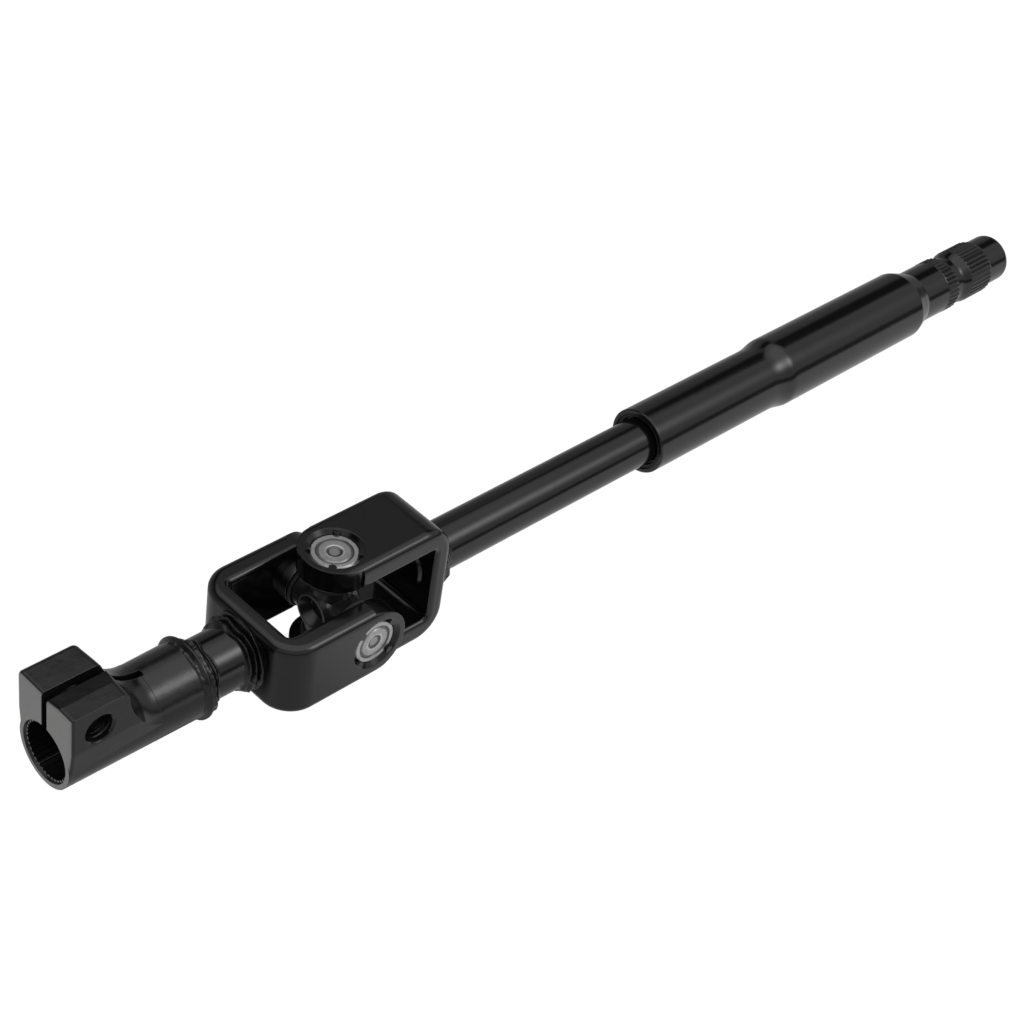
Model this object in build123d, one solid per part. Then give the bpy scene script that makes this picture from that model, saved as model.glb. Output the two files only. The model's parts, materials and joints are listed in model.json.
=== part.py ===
from build123d import *
import os
from math import cos, pi, sin

# Steering column shaft: a pinch clamp, a universal joint and a telescopic upper shaft.
# Millimetres. +X runs along the shaft from the clamp to the column end, +Z is up.
# The origin is the centre of the clamp's bore, in the plane of its pinch bolt.

# Pinch clamp
bore_crest_r = 8.75
bore_root_r = 9.25
bore_teeth = 36
bore_crest_share = 0.42
bore_root_share = 0.3
barrel_r = 11.65
barrel_mouth_r = 11.2
mouth_reach = 9.2
ear_half_width = 12.2
ear_reach = 9.3
ear_top = 21.3
ear_foot_drop = 2.0
ear_side_height = 8.0
ear_land = 5.9
ear_dip = 1.1
ear_round = 1.8
ear_end_round = 2.0
ear_blend_r = 12.0
mouth_round = 1.2
slit_width = 2.3
slit_reach = 22.4
bore_reach = 25.0
barrel_reach = 38.0
flare_length = 1.8
flare_land = 0.5
flare_rise = 1.2
bolt_height = 13.3
bolt_tap_r = 4.25
bolt_clear_r = 5.2
bolt_chamfer = 0.75
bore_chamfer = 0.8

# Stub shaft and the welds at its two ends
stub_r = 9.6
stub_exposed = 18.6
stub_seat_depth = 8.5
clamp_weld_length = 5.0
clamp_weld_setback = 1.1
yoke_weld_length = 5.8
yoke_weld_rise = 2.4
spigot_r = 7.6
spigot_proud = 0.9
spigot_chamfer = 0.8
bead_crown_place = 0.62
bead_crown_share = 0.72

# Yokes: a thick bar with rolled edges, bent to a U
yoke_arm_face = 21.5
lower_base_face = 33.8
upper_base_face = 36.4
arm_thickness = 7.6
base_thickness = 6.3
bar_wide_side = 12.8
bar_narrow_side = 12.4
bar_outer_edge_r = 2.6
bar_inner_edge_r = 1.7
bend_outer_r = 10.2
bend_inner_r = 1.8
nose_r = 11.6
nose_setback = 1.0
cup_bore_chamfer = 1.3
stake_count = 4
stake_r = 1.2
stake_height = 0.8
stake_outset = 0.5
stake_gap = 0.05

# Bearing cups, needles, thrust pads and seals
cup_r = 7.5
cup_face = 20.4
cup_length = 9.4
cup_wall = 1.0
cup_floor = 1.5
cup_corner = 0.55
cup_groove_r = 5.2
cup_groove_width = 0.5
cup_groove_depth = 0.3
cup_dimple_r = 2.6
cup_dimple_floor_r = 1.6
cup_dimple_depth = 0.45
needle_r = 1.0
needle_count = 16
needle_length = 6.2
needle_play = 0.01
journal_play = 0.06
pad_thickness = 0.8
pad_play = 0.06
seal_gap = 0.3
seal_lip = 0.5

# Spider
shoulder_r = 6.6
shoulder_reach = 9.4
journal_chamfer = 0.5
hub_r = 7.4
hub_half_length = 7.0
hub_dish_r = 5.4
hub_dish_floor_r = 3.6
hub_dish_depth = 3.4
hub_round = 1.2
grease_bore_r = 1.4
grease_bore_depth = 7.0

# Inner shaft and its sliding sleeve
rod_r = 8.0
rod_weld_length = 5.6
rod_weld_rise = 3.2
slide_teeth = 20
slide_share = 0.35
slide_tooth_height = 0.8
slide_gap = 0.25
rod_tooth_height = 0.6
sleeve_gap = 15.3
sleeve_length = 40.0
sleeve_wall = 0.35
sleeve_fit = 0.02
sleeve_setback = 2.5
clip_groove_width = 1.2
clip_groove_depth = 0.9
clip_proud = 0.2
clip_opening = 2.1

# Outer tube
rod_exposed = 96.8
tube_first_r = 11.25
tube_first_length = 66.2
tube_step_length = 2.6
tube_second_r = 12.45
tube_second_length = 75.3
tube_mouth_round = 0.5
mouth_seat_wall = 1.45
mouth_seat_depth = 7.2
bush_length = 5.0
bush_play = 0.06
wiper_recess = 0.6
wiper_play = 0.25
wiper_lip = 0.4

# Column end
plug_length = 20.0
flange_length = 4.0
flange_taper = 2.4
flange_land = 0.3
neck_r = 9.85
neck_length = 18.1
serration_crest_r = 10.0
serration_root_r = 9.45
serration_teeth = 36
serration_root_share = 0.3
serration_crest_share = 0.25
serration_chamfer = 0.5
serration_first_length = 7.7
lock_groove_r = 8.6
lock_groove_length = 3.9
serration_second_length = 13.0
pilot_r = 8.9
pilot_length = 8.1
pilot_round = 2.4
pilot_chamfer_gap = 1.0

# Worked-out places
mouth_x = -mouth_reach
lower_base_x = barrel_reach + stub_exposed
joint_x = lower_base_x + lower_base_face
arm_inner_face = yoke_arm_face - arm_thickness
upper_base_x = joint_x + upper_base_face
cup_bore_r = cup_r - cup_wall
needle_ring_r = cup_bore_r - needle_r - needle_play
journal_r = needle_ring_r - needle_r - journal_play
pad_face = cup_face - cup_floor
journal_reach = pad_face - pad_thickness - pad_play
cup_inner_face = cup_face - cup_length
needle_reach = pad_face - pad_thickness
tube_mouth_x = upper_base_x + rod_exposed
tube_step_x = tube_mouth_x + tube_first_length
tube_second_x = tube_step_x + tube_step_length
tube_end_x = tube_second_x + tube_second_length
sleeve_root_r = rod_r + sleeve_wall
sleeve_tip_r = sleeve_root_r + slide_tooth_height
tube_bore_tip_r = sleeve_root_r + slide_gap
tube_bore_root_r = sleeve_tip_r + slide_gap
mouth_seat_r = tube_first_r - mouth_seat_wall
bush_end_x = tube_mouth_x + mouth_seat_depth
bush_start_x = bush_end_x - bush_length
sleeve_start_x = bush_end_x + sleeve_gap
sleeve_end_x = sleeve_start_x + sleeve_length
rod_end_x = sleeve_end_x + sleeve_setback


def turned(points, x=0.0):
    """A turned piece: the outline's points are (distance along X, radius)."""
    return Pos(x, 0, 0) * revolve(make_face(Polyline(*points, close=True)), Axis.X)


def bead(start_x, length, inner_r, rise):
    """A round weld bead on a shaft, bulging from its tall start down to the shaft."""
    start = (start_x, inner_r + rise)
    end = (start_x + length, inner_r)
    middle = (start_x + bead_crown_place * length, inner_r + bead_crown_share * rise)
    outline = ThreePointArc(start, middle, end) + Polyline(end, (start_x, inner_r), start)
    return revolve(make_face(outline), Axis.X)


def toothed(teeth, inner_r, outer_r, inner_share, outer_share, start_x, end_x):
    """A straight-sided toothed bar round X: shares are of the pitch, for the two lands."""
    pitch = 2 * pi / teeth
    corners = []
    for tooth in range(teeth):
        crest = tooth * pitch
        root = crest + pitch / 2
        corners.append((outer_r, crest - pitch * outer_share / 2))
        corners.append((outer_r, crest + pitch * outer_share / 2))
        corners.append((inner_r, root - pitch * inner_share / 2))
        corners.append((inner_r, root + pitch * inner_share / 2))
    points = [(r * cos(angle), r * sin(angle)) for r, angle in corners]
    outline = Plane.YZ.offset(start_x) * make_face(Polyline(*points, close=True))
    return extrude(outline, end_x - start_x)


def cone_bar(start_x, end_x, start_r, end_r):
    """A round bar or cone along X."""
    return turned([(start_x, 0), (end_x, 0), (end_x, end_r), (start_x, start_r)])


def pinion_clamp():
    """Forged clamp: split barrel with two ears, serrated bore and tapped bolt hole."""
    flare_x = barrel_reach - flare_length
    barrel = turned([
        (mouth_x, 0),
        (barrel_reach, 0),
        (barrel_reach, barrel_r + flare_rise),
        (barrel_reach - flare_land, barrel_r + flare_rise),
        (flare_x, barrel_r),
        (mouth_x, barrel_mouth_r),
    ])
    slit_length = slit_reach - slit_width / 2 - mouth_x
    slit = Pos(mouth_x + slit_length / 2, 0, ear_top) * Box(slit_length + 2, slit_width, 2 * ear_top)
    slit_end = Pos(mouth_x + slit_length, 0, ear_top) * Cylinder(slit_width / 2, 2 * ear_top)
    body = barrel + clamp_ears() - slit - slit_end
    mouth_edges = body.faces().sort_by(Axis.X)[0].edges()
    body = fillet([edge for edge in mouth_edges if abs(edge.center().Y) > slit_width], mouth_round)
    body -= cone_bar(mouth_x, bore_reach, bore_crest_r, bore_crest_r)
    body -= toothed(
        bore_teeth, bore_crest_r, bore_root_r, bore_crest_share, bore_root_share, mouth_x - 1, bore_reach)
    body -= cone_bar(mouth_x, mouth_x + bore_chamfer, bore_root_r + bore_chamfer / 2, bore_root_r)
    body -= cone_bar(bore_reach, barrel_reach, stub_r, stub_r)
    body -= bolt_cut(bolt_tap_r, -1) + bolt_cut(bolt_clear_r, 1)
    return body


def clamp_ears():
    """Both ears as one block, before the slit: rounded at the back and at the far end."""
    foot_y = (barrel_mouth_r ** 2 - ear_foot_drop ** 2) ** 0.5
    side = [(foot_y, -ear_foot_drop), (ear_half_width, ear_side_height), (ear_half_width, ear_top)]
    outline = [(-y, z) for y, z in side] + side[::-1]
    section = Plane.YZ.offset(mouth_x) * make_face(Polyline(*outline, close=True))
    ears = extrude(section, ear_reach + ear_blend_r - mouth_x) - ear_scoop()
    top = ears.faces().sort_by(Axis.Z)[-1]
    ears = fillet(top.edges().sort_by(Axis.X)[-1], ear_end_round)
    top = ears.faces().sort_by(Axis.Z)[-1]
    ears = fillet(top.edges().sort_by(Axis.Y)[-1], ear_round)
    land_y = ear_land - ear_half_width
    dip = make_face(Polyline((land_y, ear_top), (0, ear_top - ear_dip), (0, ear_top), close=True))
    return ears - extrude(Plane.YZ.offset(mouth_x) * dip, ear_reach - mouth_x)


def ear_scoop():
    """What is turned away behind the ears, with a round foot on the barrel."""
    clear_r = 2 * ear_top
    foot = (ear_reach + ear_blend_r, barrel_r)
    shoulder = (ear_reach, barrel_r + ear_blend_r)
    middle = (
        ear_reach + ear_blend_r * (1 - cos(pi / 4)),
        barrel_r + ear_blend_r * (1 - sin(pi / 4)),
    )
    outline = ThreePointArc(foot, middle, shoulder)
    outline += Polyline(shoulder, (ear_reach, clear_r), (foot[0] + 1, clear_r), (foot[0] + 1, barrel_r), foot)
    return revolve(make_face(outline), Axis.X)


def bolt_cut(radius, side):
    """One ear's bolt hole with its chamfer; side is -1 for the front ear, 1 for the back."""
    outline = [
        (0, 0),
        (radius, 0),
        (radius, ear_half_width - bolt_chamfer),
        (radius + bolt_chamfer + 0.1, ear_half_width + 0.1),
        (0, ear_half_width + 0.1),
    ]
    hole = revolve(make_face(Polyline(*outline, close=True)), Axis.Y)
    if side < 0:
        hole = mirror(hole, Plane.XZ)
    return Pos(0, 0, bolt_height) * hole


def clamp_weld():
    rise = barrel_r + flare_rise - clamp_weld_setback - stub_r
    return bead(barrel_reach, clamp_weld_length, stub_r, rise)


def shaft_spigot_points(shoulder_x, tip_x, shaft_r):
    """Upper outline of a shaft's end: full radius, then the spigot that fills a yoke's hole."""
    step = spigot_chamfer if tip_x > shoulder_x else -spigot_chamfer
    return [
        (shoulder_x, shaft_r),
        (shoulder_x, spigot_r),
        (tip_x - step, spigot_r),
        (tip_x, spigot_r - spigot_chamfer),
        (tip_x, 0),
    ]


def stub_shaft():
    """Short bar between the clamp and the lower yoke, with a spigot through the yoke's base."""
    start_x = barrel_reach - stub_seat_depth
    tip_x = lower_base_x + base_thickness + spigot_proud
    end = shaft_spigot_points(lower_base_x, tip_x, stub_r)
    return turned([(start_x, 0), (start_x, stub_r)] + end)


def lower_yoke_weld():
    return mirror(bead(-lower_base_x, yoke_weld_length, stub_r, yoke_weld_rise), Plane.YZ)


def yoke(base_face):
    """Yoke about the joint's centre: base towards -X, arms across Y, noses towards +X."""
    base_inner_face = base_face - base_thickness
    reach = nose_r + 2
    outer = Pos((reach - base_face) / 2, 0) * Rectangle(reach + base_face, 2 * yoke_arm_face)
    outer = fillet(outer.vertices().group_by(Axis.X)[0], bend_outer_r)
    inner = Pos((reach - base_inner_face) / 2, 0) * Rectangle(reach + base_inner_face, 2 * arm_inner_face)
    inner = fillet(inner.vertices().group_by(Axis.X)[0], bend_inner_r)
    bar = extrude(Pos(0, 0, -bar_wide_side) * (outer - inner), bar_wide_side + bar_narrow_side)
    bar = fillet(long_edges(bar, reach, base_inner_face, True), bar_outer_edge_r)
    bar = fillet(long_edges(bar, reach, base_inner_face, False), bar_inner_edge_r)
    nose = Pos(-nose_setback, 0) * Circle(nose_r)
    straight_length = base_face - nose_setback + 1
    straight = Pos(-nose_setback - straight_length / 2, 0) * Rectangle(
        straight_length, 2 * bar_wide_side + 1)
    bar &= extrude(Plane.XZ * (nose + straight), yoke_arm_face + 1, both=True)
    bore = Rot(90, 0, 0) * Cylinder(cup_r, 2 * yoke_arm_face + 2)
    bar -= bore
    for side in (-1, 1):
        rim = [edge for edge in bar.edges() if is_bore_rim(edge, side * yoke_arm_face)]
        bar = chamfer(rim, cup_bore_chamfer)
        for stake in stakes(side):
            bar += stake
    bar -= Pos(-base_face, 0, 0) * Rot(0, 90, 0) * Cylinder(spigot_r, 4 * base_thickness)
    return bar


def long_edges(bar, end_x, base_inner_face, outside):
    """Edges along the outside or the inside of the U, but not across the arms' ends."""
    faces = bar.faces().sort_by(Axis.Z)
    chosen = []
    for edge in faces[0].edges() + faces[-1].edges():
        middle = edge.center()
        is_outside = abs(middle.Y) > arm_inner_face + 0.01 or middle.X < -base_inner_face - 0.01
        if middle.X < end_x - 0.01 and is_outside == outside:
            chosen.append(edge)
    return chosen


def is_bore_rim(edge, face_y):
    """True for the circle where the cup's bore meets an arm's outer face."""
    return edge.geom_type == GeomType.CIRCLE and abs(edge.center().Y - face_y) < 0.01 \
        and abs(edge.radius - cup_r) < 0.01


def stakes(side):
    """Lumps that were peened over the cup's rim to hold it in its bore."""
    lumps = []
    for index in range(stake_count):
        angle = pi / 4 + index * 2 * pi / stake_count
        ring_r = cup_r + stake_outset
        lump = Rot(90, 0, 0) * Cylinder(stake_r, stake_height)
        y = side * (cup_face + stake_gap + stake_height / 2)
        lumps.append(Pos(ring_r * cos(angle), y, ring_r * sin(angle)) * lump)
    return lumps


def bearing_cup():
    """Drawn cup on +X: turned face with a groove ring and a centre dimple, open inwards."""
    dish = cup_face - cup_dimple_depth
    groove = cup_face - cup_groove_depth
    return turned([
        (dish, 0),
        (dish, cup_dimple_floor_r),
        (cup_face, cup_dimple_r),
        (cup_face, cup_groove_r - cup_groove_width),
        (groove, cup_groove_r - cup_groove_width / 2),
        (groove, cup_groove_r + cup_groove_width / 2),
        (cup_face, cup_groove_r + cup_groove_width),
        (cup_face, cup_r - cup_corner),
        (cup_face - cup_corner, cup_r),
        (cup_inner_face, cup_r),
        (cup_inner_face, cup_bore_r),
        (pad_face, cup_bore_r),
        (pad_face, 0),
    ])


def needle_set():
    """The needles of one cup, one solid each."""
    needle = Pos(needle_reach - needle_length, 0, 0) * Rot(0, 90, 0) * Cylinder(
        needle_r, needle_length, align=(Align.CENTER, Align.CENTER, Align.MIN))
    pieces = []
    for index in range(needle_count):
        pieces.append(Rot(index * 360 / needle_count, 0, 0) * Pos(0, needle_ring_r, 0) * needle)
    return Compound(pieces)


def thrust_pad():
    return turned([
        (pad_face - pad_thickness, 0),
        (pad_face - pad_thickness, cup_bore_r),
        (pad_face, cup_bore_r),
        (pad_face, 0),
    ])


def journal_seal():
    """Lip seal on the spider's shoulder, just inside the cup's mouth."""
    start_x = shoulder_reach
    end_x = cup_inner_face - seal_gap
    return turned([
        (start_x, journal_r),
        (start_x, shoulder_r + seal_lip),
        (start_x + 0.5 * (end_x - start_x), shoulder_r + 2 * seal_lip),
        (end_x, shoulder_r + seal_lip),
        (end_x, journal_r),
    ])


def spider():
    """Forged cross: a dished hub along X and four stepped journals."""
    half_hub = [
        (0, 0),
        (hub_half_length, 0),
        (hub_half_length, hub_r - hub_round),
        (hub_half_length - hub_round, hub_r),
        (0, hub_r),
    ]
    body = turned(half_hub)
    body += mirror(turned(half_hub), Plane.YZ)
    arm = turned([
        (0, 0),
        (journal_reach, 0),
        (journal_reach, journal_r - journal_chamfer),
        (journal_reach - journal_chamfer, journal_r),
        (shoulder_reach, journal_r),
        (shoulder_reach, shoulder_r),
        (0, shoulder_r),
    ])
    grease_bore = cone_bar(journal_reach - grease_bore_depth, journal_reach + 1, grease_bore_r, grease_bore_r)
    for place in arm_places.values():
        body += place * arm
    for place in arm_places.values():
        body -= place * grease_bore
    dish = cone_bar(hub_half_length - hub_dish_depth, hub_half_length, hub_dish_floor_r, hub_dish_r)
    return body - dish - mirror(dish, Plane.YZ)


def rod_weld():
    return bead(upper_base_x, rod_weld_length, rod_r, rod_weld_rise)


def inner_shaft():
    """Bar from the upper yoke into the tube, toothed where the sliding sleeve sits."""
    tip_x = upper_base_x - base_thickness - spigot_proud
    clip_x = sleeve_end_x + clip_groove_width
    teeth_root_r = rod_r - rod_tooth_height
    groove_r = teeth_root_r - clip_groove_depth
    end = [
        (sleeve_start_x, rod_r),
        (sleeve_start_x, teeth_root_r),
        (sleeve_end_x, teeth_root_r),
        (sleeve_end_x, groove_r),
        (clip_x, groove_r),
        (clip_x, teeth_root_r),
        (rod_end_x - spigot_chamfer, teeth_root_r),
        (rod_end_x, teeth_root_r - spigot_chamfer),
        (rod_end_x, 0),
    ]
    start = shaft_spigot_points(upper_base_x, tip_x, rod_r)
    bar = turned(start[::-1] + end)
    return bar + slide_teeth_bar(teeth_root_r, rod_r, sleeve_start_x, sleeve_end_x)


def slide_teeth_bar(root_r, tip_r, start_x, end_x):
    """A bar with the sliding joint's teeth."""
    return toothed(slide_teeth, root_r, tip_r, slide_share, slide_share, start_x, end_x)


def slip_sleeve():
    """Plastic sleeve moulded round the toothed end of the inner shaft."""
    outer = slide_teeth_bar(sleeve_root_r, sleeve_tip_r, sleeve_start_x, sleeve_end_x)
    core_r = rod_r + sleeve_fit
    core_root_r = rod_r - rod_tooth_height + sleeve_fit
    return outer - slide_teeth_bar(core_root_r, core_r, sleeve_start_x - 1, sleeve_end_x + 1)


def sleeve_clip():
    """Snap ring in the shaft's groove, which keeps the sleeve on."""
    inner_r = rod_r - rod_tooth_height - clip_groove_depth
    ring = turned([
        (sleeve_end_x, inner_r),
        (sleeve_end_x, rod_r + clip_proud),
        (sleeve_end_x + clip_groove_width, rod_r + clip_proud),
        (sleeve_end_x + clip_groove_width, inner_r),
    ])
    gap = Pos(sleeve_end_x, 0, rod_r) * Box(4 * clip_groove_width, clip_opening, rod_r)
    return ring - gap


def outer_tube():
    """Swaged tube: seat for bush and wiper at the mouth, toothed bore, plain bore at the end."""
    plug_x = tube_end_x - plug_length
    body = turned([
        (tube_mouth_x, 0),
        (tube_mouth_x, tube_first_r - tube_mouth_round),
        (tube_mouth_x + tube_mouth_round, tube_first_r),
        (tube_step_x, tube_first_r),
        (tube_second_x, tube_second_r),
        (tube_end_x, tube_second_r),
        (tube_end_x, 0),
    ])
    body -= cone_bar(tube_mouth_x - 1, bush_end_x, mouth_seat_r, mouth_seat_r)
    body -= slide_teeth_bar(tube_bore_tip_r, tube_bore_root_r, bush_end_x - 1, plug_x)
    return body - cone_bar(plug_x, tube_end_x + 1, tube_bore_root_r, tube_bore_root_r)


def mouth_bush():
    bore = rod_r + bush_play
    return turned([
        (bush_start_x, bore),
        (bush_start_x, mouth_seat_r),
        (bush_end_x, mouth_seat_r),
        (bush_end_x, bore),
    ])


def mouth_wiper():
    """Dust wiper ring in front of the bush."""
    start_x = tube_mouth_x + wiper_recess
    lip_r = rod_r + wiper_play
    return turned([
        (start_x, lip_r + wiper_lip),
        (start_x, mouth_seat_r),
        (bush_start_x, mouth_seat_r),
        (bush_start_x, lip_r + wiper_lip),
        (0.5 * (bush_start_x + start_x), lip_r),
    ])


def column_stub():
    """Plug in the tube's end, tapered flange, neck, serrations with a lock groove, pilot."""
    flange_x = tube_end_x
    neck_x = flange_x + flange_length
    first_x = neck_x + neck_length
    groove_x = first_x + serration_first_length
    second_x = groove_x + lock_groove_length
    pilot_x = second_x + serration_second_length
    end_x = pilot_x + pilot_length
    bar = turned([
        (tube_end_x - plug_length, 0),
        (tube_end_x - plug_length, tube_bore_root_r),
        (flange_x, tube_bore_root_r),
        (flange_x, tube_second_r),
        (flange_x + flange_land, tube_second_r),
        (neck_x, tube_second_r - flange_taper),
        (neck_x, neck_r),
        (first_x, neck_r),
        (first_x, serration_root_r),
        (groove_x, serration_root_r),
        (groove_x + serration_chamfer, lock_groove_r),
        (second_x - serration_chamfer, lock_groove_r),
        (second_x, serration_root_r),
        (pilot_x, serration_root_r),
        (pilot_x + pilot_chamfer_gap, pilot_r),
        (end_x, pilot_r),
        (end_x, 0),
    ])
    bar = fillet(bar.faces().sort_by(Axis.X)[-1].edges(), pilot_round)
    for start_x, stop_x in ((first_x, groove_x), (second_x, pilot_x)):
        teeth = toothed(
            serration_teeth, serration_root_r, serration_crest_r,
            serration_root_share, serration_crest_share, start_x, stop_x)
        limit = turned([
            (start_x, 0),
            (start_x, serration_crest_r - serration_chamfer),
            (start_x + serration_chamfer, serration_crest_r + 0.01),
            (stop_x - serration_chamfer, serration_crest_r + 0.01),
            (stop_x, serration_crest_r - serration_chamfer),
            (stop_x, 0),
        ])
        bar += teeth & limit
    return bar


# Arms of the cross, as turns of a piece that lies on +X about the joint's centre
arm_places = {
    "front": Rot(0, 0, -90),
    "back": Rot(0, 0, 90),
    "top": Rot(0, -90, 0),
    "bottom": Rot(0, 90, 0),
}

at_joint = Pos(joint_x, 0, 0)
nodes = {
    "pinion_clamp": pinion_clamp(),
    "clamp_weld": clamp_weld(),
    "stub_shaft": stub_shaft(),
    "lower_yoke_weld": lower_yoke_weld(),
    "lower_yoke": at_joint * yoke(lower_base_face),
    "spider": at_joint * spider(),
    "upper_yoke": at_joint * Rot(90, 0, 0) * Rot(0, 0, 180) * yoke(upper_base_face),
    "upper_yoke_weld": rod_weld(),
    "inner_shaft": inner_shaft(),
    "slip_sleeve": slip_sleeve(),
    "sleeve_clip": sleeve_clip(),
    "mouth_wiper": mouth_wiper(),
    "mouth_bush": mouth_bush(),
    "outer_tube": outer_tube(),
    "column_stub": column_stub(),
}
for place_name, place in arm_places.items():
    nodes["cup_" + place_name] = at_joint * place * bearing_cup()
    nodes["needles_" + place_name] = at_joint * place * needle_set()
    nodes["thrust_pad_" + place_name] = at_joint * place * thrust_pad()
    nodes["seal_" + place_name] = at_joint * place * journal_seal()

os.makedirs("parts", exist_ok=True)
for node_name, solid in nodes.items():
    export_step(solid, f"parts/{node_name}.step")
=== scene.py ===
import json
from math import cos, pi, radians, sin

import bmesh
import bpy
from mathutils import Matrix, Vector, noise


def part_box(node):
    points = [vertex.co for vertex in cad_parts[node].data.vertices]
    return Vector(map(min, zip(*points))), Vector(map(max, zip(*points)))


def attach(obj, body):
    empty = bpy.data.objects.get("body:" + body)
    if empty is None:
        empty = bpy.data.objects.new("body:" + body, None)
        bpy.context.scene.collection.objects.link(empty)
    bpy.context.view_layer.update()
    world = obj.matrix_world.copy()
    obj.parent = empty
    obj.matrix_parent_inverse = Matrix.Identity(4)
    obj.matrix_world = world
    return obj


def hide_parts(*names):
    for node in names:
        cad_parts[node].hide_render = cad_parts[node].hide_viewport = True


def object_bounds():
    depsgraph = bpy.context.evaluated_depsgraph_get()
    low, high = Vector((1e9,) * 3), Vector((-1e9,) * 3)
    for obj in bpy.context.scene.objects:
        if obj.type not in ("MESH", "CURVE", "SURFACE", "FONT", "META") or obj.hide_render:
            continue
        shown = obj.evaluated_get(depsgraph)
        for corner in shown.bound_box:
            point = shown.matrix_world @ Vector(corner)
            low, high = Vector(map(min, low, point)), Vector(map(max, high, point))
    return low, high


# Looks of a steering column shaft. Metres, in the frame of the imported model.
# +X runs from the clamp to the column end, +Z is up, -Y is the tapped ear's side.

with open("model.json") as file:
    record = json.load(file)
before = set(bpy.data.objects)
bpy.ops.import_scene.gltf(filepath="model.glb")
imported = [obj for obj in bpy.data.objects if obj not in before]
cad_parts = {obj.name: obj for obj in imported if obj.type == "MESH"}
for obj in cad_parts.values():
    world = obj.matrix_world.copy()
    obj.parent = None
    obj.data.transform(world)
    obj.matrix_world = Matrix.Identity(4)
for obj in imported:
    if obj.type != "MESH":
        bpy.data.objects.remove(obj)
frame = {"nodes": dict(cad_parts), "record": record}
cad_low, cad_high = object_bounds()

# Camera, at the photograph's place
camera_place = Vector((-0.24222, -0.33694, 0.43734))
camera_target = Vector((0.16406, -0.00179, 0.0))
camera_roll = radians(9.99)
camera_lens = 76.9

# Light: brightness of the studio in each direction, 1 is white
sky_level = 0.3
front_level = 0.7
overhead_level = 0.85
zenith_level = 1.5
gap_level = 0.025
horizon_level = 0.17
key_level = 5.2
key_azimuth = -50
key_elevation = 45
key_width = 11.3

# Where each part of the studio fades in, in degrees: from not at all to fully
front_azimuth = (12, 2)
horizon_elevation = (13, 7)
gap_near_azimuth = (7, 14)
gap_far_azimuth = (42, 33)
gap_side_azimuth = (47, 52)
gap_elevation = (23, 32)
overhead_elevation = (43.5, 48.5)
overhead_side_elevation = (41, 45)
overhead_side_azimuth = (42, 50)
zenith_elevation = (48, 64)

# Floor
floor_radius = 4.0
floor_gap = 0.0002
floor_tone = 0.8
floor_front_level = 0.88
floor_clamp_level = 0.5
floor_back_level = 0.36
floor_turn_width = 0.12
floor_step_x = 0.09
floor_step_width = 0.02
floor_far_level = 0.3
floor_far_start = 0.6
floor_far_end = 1.4
# Painted shadow: a dark patch in the floor's reflections, where the object's shadow falls beside the lower
# yoke
floor_painted_shadow_level = 0.06
floor_painted_shadow_place = (0.035, 0.01)
floor_painted_shadow_r = 0.012
floor_painted_shadow_fade = 0.012
backdrop_white = 1.06
floor_shadow_share = 0.06


def add_camera():
    """Camera at the photograph's viewing angle."""
    data = bpy.data.cameras.new("camera")
    data.lens = camera_lens
    data.sensor_width = 36.0
    data.clip_start = 0.01
    data.clip_end = 50.0
    camera = bpy.data.objects.new("camera", data)
    bpy.context.scene.collection.objects.link(camera)
    aim = (camera_target - camera_place).to_track_quat("-Z", "Y").to_matrix().to_4x4()
    camera.matrix_world = Matrix.Translation(camera_place) @ aim @ Matrix.Rotation(camera_roll, 4, "Z")
    bpy.context.scene.camera = camera


class Graph:
    """Short names for building shader nodes."""

    def __init__(self, tree):
        self.tree = tree
        tree.nodes.clear()

    def add(self, kind, **settings):
        node = self.tree.nodes.new(kind)
        for name, value in settings.items():
            setattr(node, name, value)
        return node

    def link(self, source, target):
        self.tree.links.new(source, target)

    def feed(self, socket, value):
        if isinstance(value, bpy.types.NodeSocket):
            self.link(value, socket)
        else:
            socket.default_value = value

    def math(self, operation, a, b=0.0):
        node = self.add("ShaderNodeMath", operation=operation)
        self.feed(node.inputs[0], a)
        self.feed(node.inputs[1], b)
        return node.outputs[0]

    def smooth_step(self, value, start, end):
        """0 below start, 1 above end; start may be the larger of the two."""
        node = self.add("ShaderNodeMapRange", interpolation_type="SMOOTHSTEP")
        self.feed(node.inputs["Value"], value)
        if start > end:
            node.inputs["From Min"].default_value = end
            node.inputs["From Max"].default_value = start
            node.inputs["To Min"].default_value = 1.0
            node.inputs["To Max"].default_value = 0.0
        else:
            node.inputs["From Min"].default_value = start
            node.inputs["From Max"].default_value = end
        return node.outputs["Result"]

    def mix_values(self, share, a, b):
        node = self.add("ShaderNodeMix", data_type="FLOAT")
        self.feed(node.inputs[0], share)
        self.feed(node.inputs[2], a)
        self.feed(node.inputs[3], b)
        return node.outputs[0]

    def mix_colors(self, share, a, b, blend_type="MIX"):
        node = self.add("ShaderNodeMix", data_type="RGBA", blend_type=blend_type)
        self.feed(node.inputs[0], share)
        self.feed(node.inputs[6], a)
        self.feed(node.inputs[7], b)
        return node.outputs[2]

    def mix_shaders(self, share, a, b):
        node = self.add("ShaderNodeMixShader")
        self.feed(node.inputs[0], share)
        self.link(a, node.inputs[1])
        self.link(b, node.inputs[2])
        return node.outputs[0]

    def noise(self, where, scale, detail=2.0, roughness=0.5):
        node = self.add("ShaderNodeTexNoise")
        self.link(where, node.inputs["Vector"])
        node.inputs["Scale"].default_value = scale
        node.inputs["Detail"].default_value = detail
        node.inputs["Roughness"].default_value = roughness
        return node.outputs["Fac"]

    def bump(self, height, strength, distance, under=None):
        node = self.add("ShaderNodeBump")
        self.link(height, node.inputs["Height"])
        node.inputs["Strength"].default_value = strength
        node.inputs["Distance"].default_value = distance
        if under is not None:
            self.link(under, node.inputs["Normal"])
        return node.outputs["Normal"]


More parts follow.
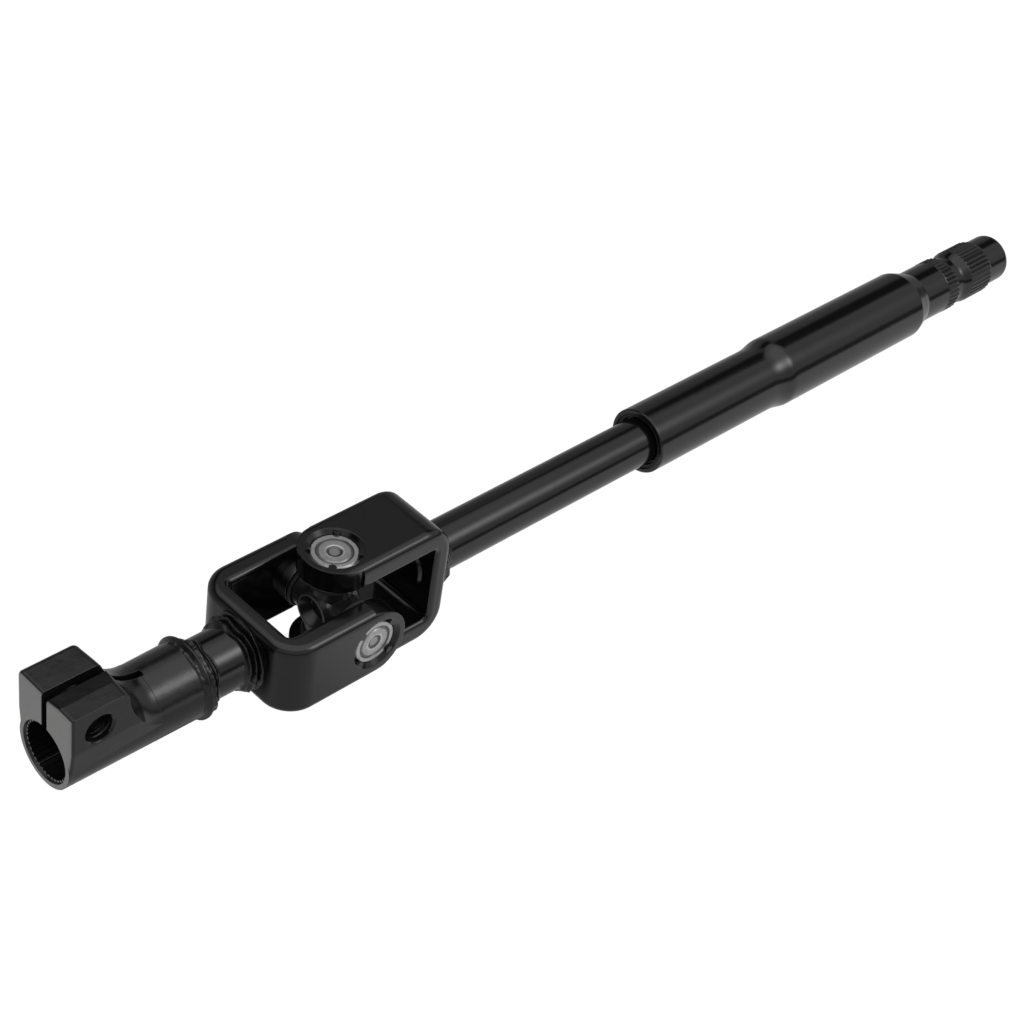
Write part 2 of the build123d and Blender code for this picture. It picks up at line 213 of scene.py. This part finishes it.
def add_world():
    """White to the camera; to the object a studio with a key, a front, an overhead and a dark gap."""
    world = bpy.data.worlds.new("studio")
    bpy.context.scene.world = world
    world.use_nodes = True
    graph = Graph(world.node_tree)
    where = graph.add("ShaderNodeTexCoord").outputs["Generated"]
    split = graph.add("ShaderNodeSeparateXYZ")
    graph.link(where, split.inputs[0])
    x, y, z = split.outputs
    azimuth = graph.math("MULTIPLY", graph.math("ARCTAN2", y, x), 180 / pi)
    elevation = graph.math("MULTIPLY", graph.math("ARCSINE", z), 180 / pi)
    level = studio_level(graph, azimuth, elevation)
    sky = graph.add("ShaderNodeBackground")
    graph.link(graph.math("ADD", level, key_glow(graph, where)), sky.inputs["Strength"])
    white = graph.add("ShaderNodeBackground")
    white.inputs["Color"].default_value = (1, 1, 1, 1)
    white.inputs["Strength"].default_value = backdrop_white
    rays = graph.add("ShaderNodeLightPath")
    both = graph.mix_shaders(rays.outputs["Is Camera Ray"], sky.outputs[0], white.outputs[0])
    graph.link(both, graph.add("ShaderNodeOutputWorld").inputs["Surface"])


def studio_level(graph, azimuth, elevation):
    """Brightness of the studio without its key light."""
    front = graph.smooth_step(azimuth, *front_azimuth)
    level = graph.mix_values(front, sky_level, front_level)
    near = graph.smooth_step(azimuth, *gap_near_azimuth)
    far = graph.smooth_step(azimuth, *gap_far_azimuth)
    side = graph.smooth_step(azimuth, *gap_side_azimuth)
    around = graph.math("MAXIMUM", graph.math("MULTIPLY", near, far), side)
    gap = graph.math("MULTIPLY", around, graph.smooth_step(elevation, *gap_elevation))
    level = graph.mix_values(gap, level, gap_level)
    zenith = graph.smooth_step(elevation, *zenith_elevation)
    overhead = graph.mix_values(zenith, overhead_level, zenith_level)
    beside = graph.smooth_step(azimuth, *overhead_side_azimuth)
    ahead_edge = graph.smooth_step(elevation, *overhead_elevation)
    side_edge = graph.smooth_step(elevation, *overhead_side_elevation)
    level = graph.mix_values(graph.mix_values(beside, ahead_edge, side_edge), level, overhead)
    low = graph.math("MULTIPLY", graph.smooth_step(elevation, *horizon_elevation), front)
    return graph.mix_values(low, level, horizon_level)


def key_glow(graph, where):
    """Round glow of the key light: a bell curve of the angle from its direction."""
    a, e = radians(key_azimuth), radians(key_elevation)
    direction = graph.add("ShaderNodeVectorMath", operation="DOT_PRODUCT")
    graph.link(where, direction.inputs[0])
    direction.inputs[1].default_value = (cos(a) * cos(e), sin(a) * cos(e), sin(e))
    off = graph.math("SUBTRACT", 1.0, direction.outputs["Value"])
    spread = 1 - cos(radians(key_width))
    fade = graph.math("EXPONENT", graph.math("MULTIPLY", off, -1 / spread))
    return graph.math("MULTIPLY", fade, key_level)


def add_floor():
    """Pale floor with the part's shadow, clear to the camera so that a lowered shaft isn't cut off."""
    data = bpy.data.meshes.new("floor")
    corners = [(-1, -1), (1, -1), (1, 1), (-1, 1)]
    z = cad_low.z - floor_gap
    data.from_pydata([(a * floor_radius, b * floor_radius, z) for a, b in corners], [], [(0, 1, 2, 3)])
    floor = bpy.data.objects.new("floor", data)
    bpy.context.scene.collection.objects.link(floor)
    material = bpy.data.materials.new("floor_white_painted_shadow")
    material.use_nodes = True
    graph = Graph(material.node_tree)
    where = graph.add("ShaderNodeTexCoord").outputs["Object"]
    mirrored = graph.add("ShaderNodeEmission")
    graph.link(mirrored_level(graph, where), mirrored.inputs["Strength"])
    matte = graph.add("ShaderNodeBsdfDiffuse")
    matte.inputs["Color"].default_value = (floor_tone, floor_tone, floor_tone, 1)
    clear = graph.add("ShaderNodeBsdfTransparent")
    seen = graph.mix_shaders(floor_shadow_share, clear.outputs[0], matte.outputs[0])
    rays = graph.add("ShaderNodeLightPath")
    diffuse_or_seen = graph.mix_shaders(rays.outputs["Is Camera Ray"], matte.outputs[0], seen)
    shiny = graph.math("MAXIMUM", rays.outputs["Is Glossy Ray"], rays.outputs["Is Transmission Ray"])
    both = graph.mix_shaders(shiny, diffuse_or_seen, mirrored.outputs[0])
    graph.link(both, graph.add("ShaderNodeOutputMaterial").inputs["Surface"])
    data.materials.append(material)


def mirrored_level(graph, where):
    """How bright the floor is in reflections: front, clamp end, back, far off and a painted shadow patch.
    """
    split = graph.add("ShaderNodeSeparateXYZ")
    graph.link(where, split.inputs[0])
    x, y = split.outputs["X"], split.outputs["Y"]
    along = graph.smooth_step(x, floor_step_x - floor_step_width, floor_step_x + floor_step_width)
    front = graph.mix_values(along, floor_clamp_level, floor_front_level)
    behind = graph.smooth_step(y, -floor_turn_width, floor_turn_width)
    level = graph.mix_values(behind, front, floor_back_level)
    far = graph.smooth_step(distance_from(graph, x, y, (0, 0)), floor_far_start, floor_far_end)
    level = graph.mix_values(far, level, floor_far_level)
    # Painted shadow of the object on the floor, seen only in reflections
    off = distance_from(graph, x, y, floor_painted_shadow_place)
    dark = graph.smooth_step(off, floor_painted_shadow_r + floor_painted_shadow_fade, floor_painted_shadow_r)
    return graph.mix_values(dark, level, floor_painted_shadow_level)


def distance_from(graph, x, y, place):
    """Distance on the floor from a place."""
    off_x = graph.math("SUBTRACT", x, place[0])
    off_y = graph.math("SUBTRACT", y, place[1])
    squares = graph.math("ADD", graph.math("MULTIPLY", off_x, off_x), graph.math("MULTIPLY", off_y, off_y))
    return graph.math("SQRT", squares)


# Finishes: patterns by their scale, relief and edges in metres
tone_scale = 90
gloss_scale = 260
wave_scale = 130
light_paint = 1.5
# Light grey on the clamp's machined mouth faces: a painted reflection of light from the left
mouth_reflection_color = (0.26, 0.26, 0.256, 1)
mouth_depth_x = (0.0012, 0.0008)
mouth_square = (-0.6, -0.9)
bevel_samples = 6
cup_edge_r = 0.0002
cup_stain = (0.55, 1.25)
cup_stain_scale = 700
cup_grain_scale = 1800
cup_line_scale = 5200
cup_roughness = (0.22, 0.5)
line_depth = 0.00002
steel_stain_scale = 420
steel_stain = 0.55
steel_gloss_scale = 1500
steel_gloss_change = 0.3
steel_grain_scale = 3500
plain_light = 1.25
plain_grain_depth = 0.00003

# Cup face: share of the radius, tone
cup_tones = [
    (0.0, 0.36), (0.18, 0.4), (0.22, 0.14), (0.3, 0.15), (0.35, 0.74), (0.42, 0.46), (0.64, 0.44),
    (0.69, 0.13), (0.74, 0.14), (0.79, 0.52), (0.9, 0.5), (0.96, 0.44), (1.0, 0.2),
]


def start_material(name):
    """A new material, its graph, its shader and the place on the object."""
    material = bpy.data.materials.new(name)
    material.use_nodes = True
    graph = Graph(material.node_tree)
    shader = graph.add("ShaderNodeBsdfPrincipled")
    graph.link(shader.outputs[0], graph.add("ShaderNodeOutputMaterial").inputs["Surface"])
    where = graph.add("ShaderNodeTexCoord").outputs["Object"]
    return material, graph, shader, where


def paint(name, color, roughness, roughness_change, grain, grain_depth, wave_depth, edge_r, painted_reflection=None):
    """Black paint over steel: soft edges, fine grain, a slow wave and small changes of gloss. Faces that
    the optional mask marks get a light grey painted reflection in place of the black.
    """
    material, graph, shader, where = start_material(name)
    tone = graph.noise(where, tone_scale, 4)
    light = [c * light_paint for c in color[:3]] + [1]
    skin = graph.mix_colors(tone, color, light)
    # Painted reflection: the masked mouth faces turn light grey
    if painted_reflection is not None:
        skin = graph.mix_colors(painted_reflection(graph, where), skin, mouth_reflection_color)
    graph.link(skin, shader.inputs["Base Color"])
    gloss = graph.noise(where, gloss_scale, 3, 0.6)
    low, high = roughness - roughness_change, roughness + roughness_change
    graph.link(graph.mix_values(gloss, low, high), shader.inputs["Roughness"])
    edge = graph.add("ShaderNodeBevel", samples=bevel_samples)
    edge.inputs["Radius"].default_value = edge_r
    fine = graph.bump(graph.noise(where, grain, 3, 0.6), 1.0, grain_depth, edge.outputs["Normal"])
    slow = graph.bump(graph.noise(where, wave_scale, 2), 1.0, wave_depth, fine)
    graph.link(slow, shader.inputs["Normal"])
    return material


def mouth_reflection_mask(graph, where):
    """1 on the clamp's machined mouth faces and the chamfer of its bore, which get a light grey painted
    reflection; 0 on its forged skin.
    """
    place = graph.add("ShaderNodeSeparateXYZ")
    graph.link(where, place.inputs[0])
    facing = graph.add("ShaderNodeSeparateXYZ")
    graph.link(graph.add("ShaderNodeTexCoord").outputs["Normal"], facing.inputs[0])
    mouth_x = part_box("pinion_clamp")[0].x
    near = graph.smooth_step(place.outputs["X"], *[mouth_x + depth for depth in mouth_depth_x])
    square = graph.smooth_step(facing.outputs["X"], *mouth_square)
    return graph.math("MULTIPLY", near, square)


def cup_steel():
    """Drawn and turned cup: ring tones and fine circular lines about the cup's own axis."""
    material, graph, shader, where = start_material("cup_steel")
    low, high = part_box("cup_front")
    joint_x = (low.x + high.x) / 2
    cup_r = (high.x - low.x) / 2
    split = graph.add("ShaderNodeSeparateXYZ")
    graph.link(where, split.inputs[0])
    x = graph.math("SUBTRACT", split.outputs["X"], joint_x)
    x2 = graph.math("MULTIPLY", x, x)
    y2 = graph.math("MULTIPLY", split.outputs["Y"], split.outputs["Y"])
    z2 = graph.math("MULTIPLY", split.outputs["Z"], split.outputs["Z"])
    r = graph.math("SQRT", graph.math("ADD", x2, graph.math("MINIMUM", y2, z2)))
    tones = graph.add("ShaderNodeValToRGB")
    graph.link(graph.math("DIVIDE", r, cup_r), tones.inputs[0])
    ramp = tones.color_ramp
    while len(ramp.elements) < len(cup_tones):
        ramp.elements.new(0.5)
    for element, (place, tone) in zip(ramp.elements, cup_tones):
        element.position = place
        element.color = (tone, tone, tone * 1.01, 1)
    shade = graph.mix_values(graph.noise(where, cup_stain_scale, 4, 0.65), *cup_stain)
    graph.link(graph.mix_colors(1.0, tones.outputs[0], shade, "MULTIPLY"), shader.inputs["Base Color"])
    shader.inputs["Metallic"].default_value = 1.0
    line_place = graph.add("ShaderNodeCombineXYZ")
    graph.link(r, line_place.inputs[0])
    lines = graph.noise(line_place.outputs[0], cup_line_scale, 3, 0.7)
    graph.link(graph.mix_values(lines, *cup_roughness), shader.inputs["Roughness"])
    edge = graph.add("ShaderNodeBevel", samples=bevel_samples)
    edge.inputs["Radius"].default_value = cup_edge_r
    turned = graph.bump(lines, 0.6, line_depth, edge.outputs["Normal"])
    grain = graph.noise(where, cup_grain_scale, 3, 0.7)
    graph.link(graph.bump(grain, 0.5, line_depth, turned), shader.inputs["Normal"])
    return material


def steel(name, color, roughness):
    """Bare steel with a fine grain and a light stain."""
    material, graph, shader, where = start_material(name)
    stain = graph.noise(where, steel_stain_scale, 4, 0.6)
    dark = [c * steel_stain for c in color[:3]] + [1]
    graph.link(graph.mix_colors(stain, dark, color), shader.inputs["Base Color"])
    shader.inputs["Metallic"].default_value = 1.0
    gloss = graph.noise(where, steel_gloss_scale, 3)
    low, high = roughness * (1 - steel_gloss_change), roughness * (1 + steel_gloss_change)
    graph.link(graph.mix_values(gloss, low, high), shader.inputs["Roughness"])
    grain = graph.noise(where, steel_grain_scale, 2)
    graph.link(graph.bump(grain, 0.5, line_depth), shader.inputs["Normal"])
    return material


def plain(name, color, roughness, grain):
    """Rubber or moulded plastic with a fine grain."""
    material, graph, shader, where = start_material(name)
    tone = graph.noise(where, grain, 3)
    light = [c * plain_light for c in color[:3]] + [1]
    graph.link(graph.mix_colors(tone, color, light), shader.inputs["Base Color"])
    shader.inputs["Roughness"].default_value = roughness
    fine = graph.noise(where, grain * 4, 2)
    graph.link(graph.bump(fine, 0.4, plain_grain_depth), shader.inputs["Normal"])
    return material


def add_materials():
    """One material for each material slot."""
    gloss_black = paint(
        "paint_gloss", (0.003, 0.003, 0.0032, 1), roughness=0.13, roughness_change=0.03,
        grain=2600, grain_depth=0.000004, wave_depth=0.00003, edge_r=0.0004,
    )
    satin_black = paint(
        "paint_satin_mouth_reflection", (0.006, 0.006, 0.0065, 1), roughness=0.19, roughness_change=0.06,
        grain=1500, grain_depth=0.00003, wave_depth=0.00018, edge_r=0.0004, painted_reflection=mouth_reflection_mask,
    )
    weld_black = paint(
        "paint_weld", (0.004, 0.004, 0.0044, 1), roughness=0.2, roughness_change=0.06,
        grain=1600, grain_depth=0.00003, wave_depth=0.0001, edge_r=0.0002,
    )
    dark_steel = paint(
        "cross_paint", (0.018, 0.018, 0.019, 1), roughness=0.25, roughness_change=0.08,
        grain=900, grain_depth=0.00002, wave_depth=0.00012, edge_r=0.0004,
    )
    return {
        "gloss_black": gloss_black,
        "satin_black": satin_black,
        "weld_black": weld_black,
        "bare_steel": cup_steel(),
        "dark_steel": dark_steel,
        "needle_steel": steel("needle_steel", (0.6, 0.6, 0.62, 1), 0.15),
        "spring_steel": steel("clip_steel", (0.3, 0.3, 0.31, 1), 0.3),
        "seal_rubber": plain("seal_rubber", (0.012, 0.012, 0.012, 1), 0.6, 700),
        "nylon": plain("nylon", (0.6, 0.57, 0.5, 1), 0.45, 500),
    }


def dress_nodes(materials):
    """Gives every CAD node the finish of its slot."""
    for subpart in frame["record"]["subparts"]:
        node = frame["nodes"][subpart["node"]]
        for slot in node.material_slots:
            slot.material = materials[subpart["material_slot"]]


sharp_angle = radians(38)


def add_piece(name, vertices, faces, body, material):
    """A piece that rides on a body, smooth but for its sharp edges."""
    data = bpy.data.meshes.new(name)
    data.from_pydata(vertices, [], faces)
    data.validate()
    mesh = bmesh.new()
    mesh.from_mesh(data)
    bmesh.ops.recalc_face_normals(mesh, faces=mesh.faces)
    mesh.to_mesh(data)
    mesh.free()
    for polygon in data.polygons:
        polygon.use_smooth = True
    data.set_sharp_from_angle(angle=sharp_angle)
    piece = bpy.data.objects.new(name, data)
    bpy.context.scene.collection.objects.link(piece)
    data.materials.append(material)
    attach(piece, body)
    return piece


def ring_mesh(sections):
    """Faces of a closed ring made of closed sections with the same number of points."""
    vertices = [point for section in sections for point in section]
    count = len(sections[0])
    faces = []
    for i in range(len(sections)):
        here, there = i * count, (i + 1) % len(sections) * count
        for k in range(count):
            after = (k + 1) % count
            faces.append((here + k, here + after, there + after, there + k))
    return vertices, faces


# Outer tube: where its swage runs from the thin to the thick end, and where its end is turned down
tube_low, tube_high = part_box("outer_tube")
tube_r = tube_high.z
tube_thin_r = 0.01125
tube_bore_r = 0.0098
tube_lip = 0.0005
swage_start_x = 0.285
swage_start_round = 0.0026
swage_end_x = 0.2906
swage_end_round = 0.0013
cone_start_round = 0.0002
cone_start_x = 0.3637
cone_end_x = 0.3706
cone_end_r = 0.01012

# Column end: neck, toothed collar, lock groove, serrations, pilot
pilot_end_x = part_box("column_stub")[1].x
column_plug_r = 0.0097
column_plug_length = 0.01
column_neck_r = 0.00985
column_teeth = 36
tooth_crest_r = 0.01
tooth_depth = 0.00062
tooth_slope = 2.6
tooth_crest_share = 0.35
tooth_ramp = 0.0003
step_round = 0.00015
fine_round = 0.0001
collar_start_x = 0.384
collar_end_x = 0.39
groove_floor_r = 0.00855
groove_start_x = 0.3909
groove_end_x = 0.3942
band_start_x = 0.398
band_end_x = 0.4098
pilot_start_x = 0.4112
pilot_r = 0.0089
pilot_round = 0.0019
turned_steps = 360
corner_points = 7
support_gap = 0.00012


def rounded_profile(corners):
    """Points of a turned outline: corners are x, r and the length of each corner's rounding."""
    points = []
    for i, (x, r, rounding) in enumerate(corners):
        here = Vector((x, r))
        if rounding == 0 or i in (0, len(corners) - 1):
            points.append(here)
            continue
        back = (Vector(corners[i - 1][:2]) - here).normalized()
        ahead = (Vector(corners[i + 1][:2]) - here).normalized()
        start = here + back * rounding
        stop = here + ahead * rounding
        points.append(start + back * support_gap)
        for k in range(corner_points):
            t = k / (corner_points - 1)
            points.append(start * (1 - t) ** 2 + here * 2 * t * (1 - t) + stop * t ** 2)
        points.append(stop + ahead * support_gap)
    return points


def turned_piece(name, outline, body, material, radius_at=None):
    """Surface turned about the shaft's axis. An outline that starts on the axis ends there too;
    any other is closed on itself. radius_at(x, r, angle) may change the radius, as teeth do."""
    on_axis = outline[0][1] == 0
    points = outline[1:-1] if on_axis else outline
    count = len(points)
    vertices = []
    for i in range(turned_steps):
        angle = 2 * pi * i / turned_steps
        for x, r in points:
            r_here = r if radius_at is None else radius_at(x, r, angle)
            vertices.append((x, r_here * cos(angle), r_here * sin(angle)))
    faces = []
    for i in range(turned_steps):
        here, there = i * count, (i + 1) % turned_steps * count
        for k in range(count - 1):
            faces.append((here + k, here + k + 1, there + k + 1, there + k))
        if on_axis:
            first, last = len(vertices), len(vertices) + 1
            faces.append((first, here, there))
            faces.append((here + count - 1, last, there + count - 1))
        else:
            faces.append((here + count - 1, here, there, there + count - 1))
    if on_axis:
        vertices.append((outline[0][0], 0, 0))
        vertices.append((outline[-1][0], 0, 0))
    return add_piece(name, vertices, faces, body, material)


def tube_shell(material):
    """The outer tube with its soft swage and the turned end that meets the column's cone."""
    end_r = cone_radius(tube_high.x)
    outline = rounded_profile([
        (tube_low.x, tube_bore_r, 0),
        (tube_low.x, tube_thin_r, tube_lip),
        (swage_start_x, tube_thin_r, swage_start_round),
        (swage_end_x, tube_r, swage_end_round),
        (cone_start_x, tube_r, cone_start_round),
        (tube_high.x, end_r, 0),
        (tube_high.x, tube_bore_r, 0),
    ])
    shell = turned_piece("tube_shell", outline, "column_shaft", material)
    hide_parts("outer_tube")


def cone_radius(x):
    """Radius of the turned cone at the tube's end."""
    return tube_r + (cone_end_r - tube_r) * (x - cone_start_x) / (cone_end_x - cone_start_x)


def tooth_radius(x, r, angle):
    """Radius on the column end: the collar and the serrated band lose depth between their teeth."""
    toothed = max(ramp_in_out(x, collar_start_x, collar_end_x), ramp_in_out(x, band_start_x, band_end_x))
    phase = angle * column_teeth / (2 * pi) % 1
    valley = min(1.0, max(0.0, tooth_slope * abs(phase - 0.5) - tooth_crest_share))
    return r - toothed * valley * tooth_depth


def ramp_in_out(x, start, end):
    """1 between start and end, with short ramps outside them."""
    rise = (x - start + tooth_ramp) / tooth_ramp
    fall = (end + tooth_ramp - x) / tooth_ramp
    return max(0.0, min(1.0, rise, fall))


def column_end(material):
    """Cone, neck, collar, waisted lock groove, serrated band and rounded pilot of the column end."""
    outline = rounded_profile([
        (tube_high.x - column_plug_length, 0, 0),
        (tube_high.x - column_plug_length, column_plug_r, 0),
        (tube_high.x, column_plug_r, 0),
        (tube_high.x, cone_radius(tube_high.x), 0),
        (cone_end_x, cone_end_r, step_round),
        (cone_end_x + 0.0005, column_neck_r, step_round),
        (collar_start_x - 0.0006, column_neck_r, step_round),
        (collar_start_x, tooth_crest_r, step_round),
        (collar_end_x - 0.0004, tooth_crest_r, step_round),
        (collar_end_x, tooth_crest_r - 0.0003, fine_round),
        (groove_start_x, groove_floor_r, 0.0005),
        (groove_end_x, groove_floor_r, 0.0009),
        (band_start_x - 0.0005, tooth_crest_r - 0.0002, fine_round),
        (band_start_x, tooth_crest_r, fine_round),
        (band_end_x, tooth_crest_r, 0.0002),
        (pilot_start_x, pilot_r, 0.0003),
        (pilot_end_x, pilot_r, pilot_round),
        (pilot_end_x, 0, 0),
    ])
    end = turned_piece("column_end", outline, "column_shaft", material, tooth_radius)
    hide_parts("column_stub")


# Weld beads
weld_steps = 420
weld_points = 34
lump_height = 0.0009
lump_waves = 3.2
lump_waves_along = 2.2
grain_share = 0.25
grain_waves = 11
grain_waves_along = 5
ridge_wander = 0.16
ridge_waves = 1.3
toe_wander = 0.0013
toe_waves = 2.4
toe_inset = 0.1
weld_sunk = 0.0002
weld_depth = 0.0006

# How far each bead spreads over the piece behind it, and its height over the node's
weld_overlap = {"clamp_weld": 0.003, "lower_yoke_weld": 0.0002, "upper_yoke_weld": 0.0002}
weld_extra_rise = {"clamp_weld": 0.00025, "lower_yoke_weld": 0.0002, "upper_yoke_weld": 0.0}

# Outline of each bead: share of its length from the tall end, share of its height
weld_outlines = {
    "clamp_weld": [(0, 0.75), (0.14, 0.98), (0.26, 0.92), (0.34, 0.4), (0.44, 0.84), (0.58, 0.9),
                   (0.68, 0.5), (0.74, 0.06), (0.83, 0.34), (0.93, 0.04), (1, 0)],
    "lower_yoke_weld": [(0, 0.85), (0.16, 1.0), (0.3, 0.2), (0.46, 0.78), (0.62, 0.06), (0.78, 0.5),
                        (0.93, 0.03), (1, 0)],
    "upper_yoke_weld": [(0, 1.0), (0.2, 0.98), (0.42, 0.74), (0.6, 0.5), (0.74, 0.2), (0.86, 0.24), (1, 0)],
}
weld_inner_r = {
    "clamp_weld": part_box("stub_shaft")[1].z,
    "lower_yoke_weld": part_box("stub_shaft")[1].z,
    "upper_yoke_weld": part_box("inner_shaft")[1].z,
}


def outline_height(outline, t):
    """Height at t on an outline, with smooth steps between its points."""
    for (t0, h0), (t1, h1) in zip(outline, outline[1:]):
        if t <= t1:
            share = (t - t0) / (t1 - t0)
            share = share * share * (3 - 2 * share)
            return h0 + (h1 - h0) * share
    return outline[-1][1]


def bead_radius(outline, inner_r, rise, angle, t, seed):
    """Radius of a bead at an angle round the shaft; t is 0 at its tall end and 1 at its toe."""
    spot = Vector((cos(angle), sin(angle), seed))
    wander = ridge_wander * noise.noise(spot * ridge_waves + Vector((0, 5, t))) * sin(pi * t)
    height = rise * outline_height(outline, min(1.0, max(0.0, t + wander)))
    lump = noise.noise(Vector((spot.x * lump_waves, spot.y * lump_waves, seed + t * lump_waves_along)))
    grain = noise.noise(Vector((spot.x * grain_waves, spot.y * grain_waves, seed + t * grain_waves_along)))
    swell = lump_height * sin(pi * t) ** 0.6 * min(1.0, height / rise + 0.3)
    return inner_r - weld_sunk + max(0.0, height + weld_sunk + swell * (lump + grain_share * grain))


def weld_bead(name, node, facing, body, material, seed):
    """Hand-laid bead on a shaft: ridges, lumps and an uneven toe; facing is where it thins out."""
    low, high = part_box(node)
    inner_r = weld_inner_r[node]
    rise = max(high.y, high.z) - inner_r + weld_extra_rise[node]
    tall_x = (low.x if facing > 0 else high.x) - facing * weld_overlap[node]
    length = high.x - low.x + weld_overlap[node]
    deep_r = inner_r - weld_depth
    sections = []
    for i in range(weld_steps):
        angle = 2 * pi * i / weld_steps
        spot = Vector((cos(angle), sin(angle), seed))
        wander = noise.noise(spot * toe_waves + Vector((7, 0, 0))) - toe_inset
        reach = length + toe_wander * wander
        section = []
        for k in range(weld_points):
            t = k / (weld_points - 1)
            r = bead_radius(weld_outlines[node], inner_r, rise, angle, t, seed)
            section.append((tall_x + facing * t * reach, r * cos(angle), r * sin(angle)))
        section.append((tall_x + facing * reach, deep_r * cos(angle), deep_r * sin(angle)))
        section.append((tall_x, deep_r * cos(angle), deep_r * sin(angle)))
        if facing < 0:
            section.reverse()
        sections.append(section)
    vertices, faces = ring_mesh(sections)
    bead = add_piece(name, vertices, faces, body, material)
    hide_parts(node)


# Thread in the front ear's hole
thread_pitch = 0.0015
thread_depth = 0.0003
thread_turn_steps = 40

# Outline of one ridge: share of the pitch along the hole, share of the depth
thread_outline = [(-0.45, -0.2), (-0.08, 1.0), (0.08, 1.0), (0.45, -0.2)]


def bolt_thread(material):
    """Ridges of the tapped hole, from the slit to just inside the chamfer."""
    mount = next(m for m in frame["record"]["mounts"] if m["name"] == "pinch_bolt_thread")
    place = mount["pos_m"]
    wall_r = mount["dims"]["r_mm"] / 1000
    length = mount["dims"]["length_mm"] / 1000
    turns = length / thread_pitch
    steps = round(turns * thread_turn_steps)
    sections = []
    for i in range(steps + 1):
        angle = 2 * pi * i / thread_turn_steps
        y = place[1] + length / 2 - i / steps * length
        fade = min(1.0, 2 * i / thread_turn_steps, 2 * (steps - i) / thread_turn_steps)
        section = []
        for along, depth in thread_outline:
            r = wall_r - depth * thread_depth * (fade if depth > 0 else 1)
            section.append((place[0] + r * cos(angle), y + along * thread_pitch, place[2] + r * sin(angle)))
        sections.append(section)
    vertices, faces = strip_mesh(sections)
    add_piece("bolt_thread", vertices, faces, "lower_half", material)


def strip_mesh(sections):
    """Faces of an open strip through open sections with the same number of points."""
    vertices = [point for section in sections for point in section]
    count = len(sections[0])
    faces = []
    for i in range(len(sections) - 1):
        for k in range(count - 1):
            here = i * count + k
            faces.append((here, here + 1, here + count + 1, here + count))
    return vertices, faces


add_camera()
add_world()
add_floor()
materials = add_materials()
dress_nodes(materials)
tube_shell(materials["gloss_black"])
column_end(materials["gloss_black"])
weld_bead("clamp_weld_bead", "clamp_weld", 1, "lower_half", materials["weld_black"], 3.0)
weld_bead("lower_yoke_weld_bead", "lower_yoke_weld", -1, "lower_half", materials["weld_black"], 11.0)
weld_bead("upper_yoke_weld_bead", "upper_yoke_weld", 1, "upper_shaft", materials["weld_black"], 23.0)
bolt_thread(materials["satin_black"])

bpy.context.scene.view_settings.view_transform = "Standard"
bpy.context.view_layer.update()
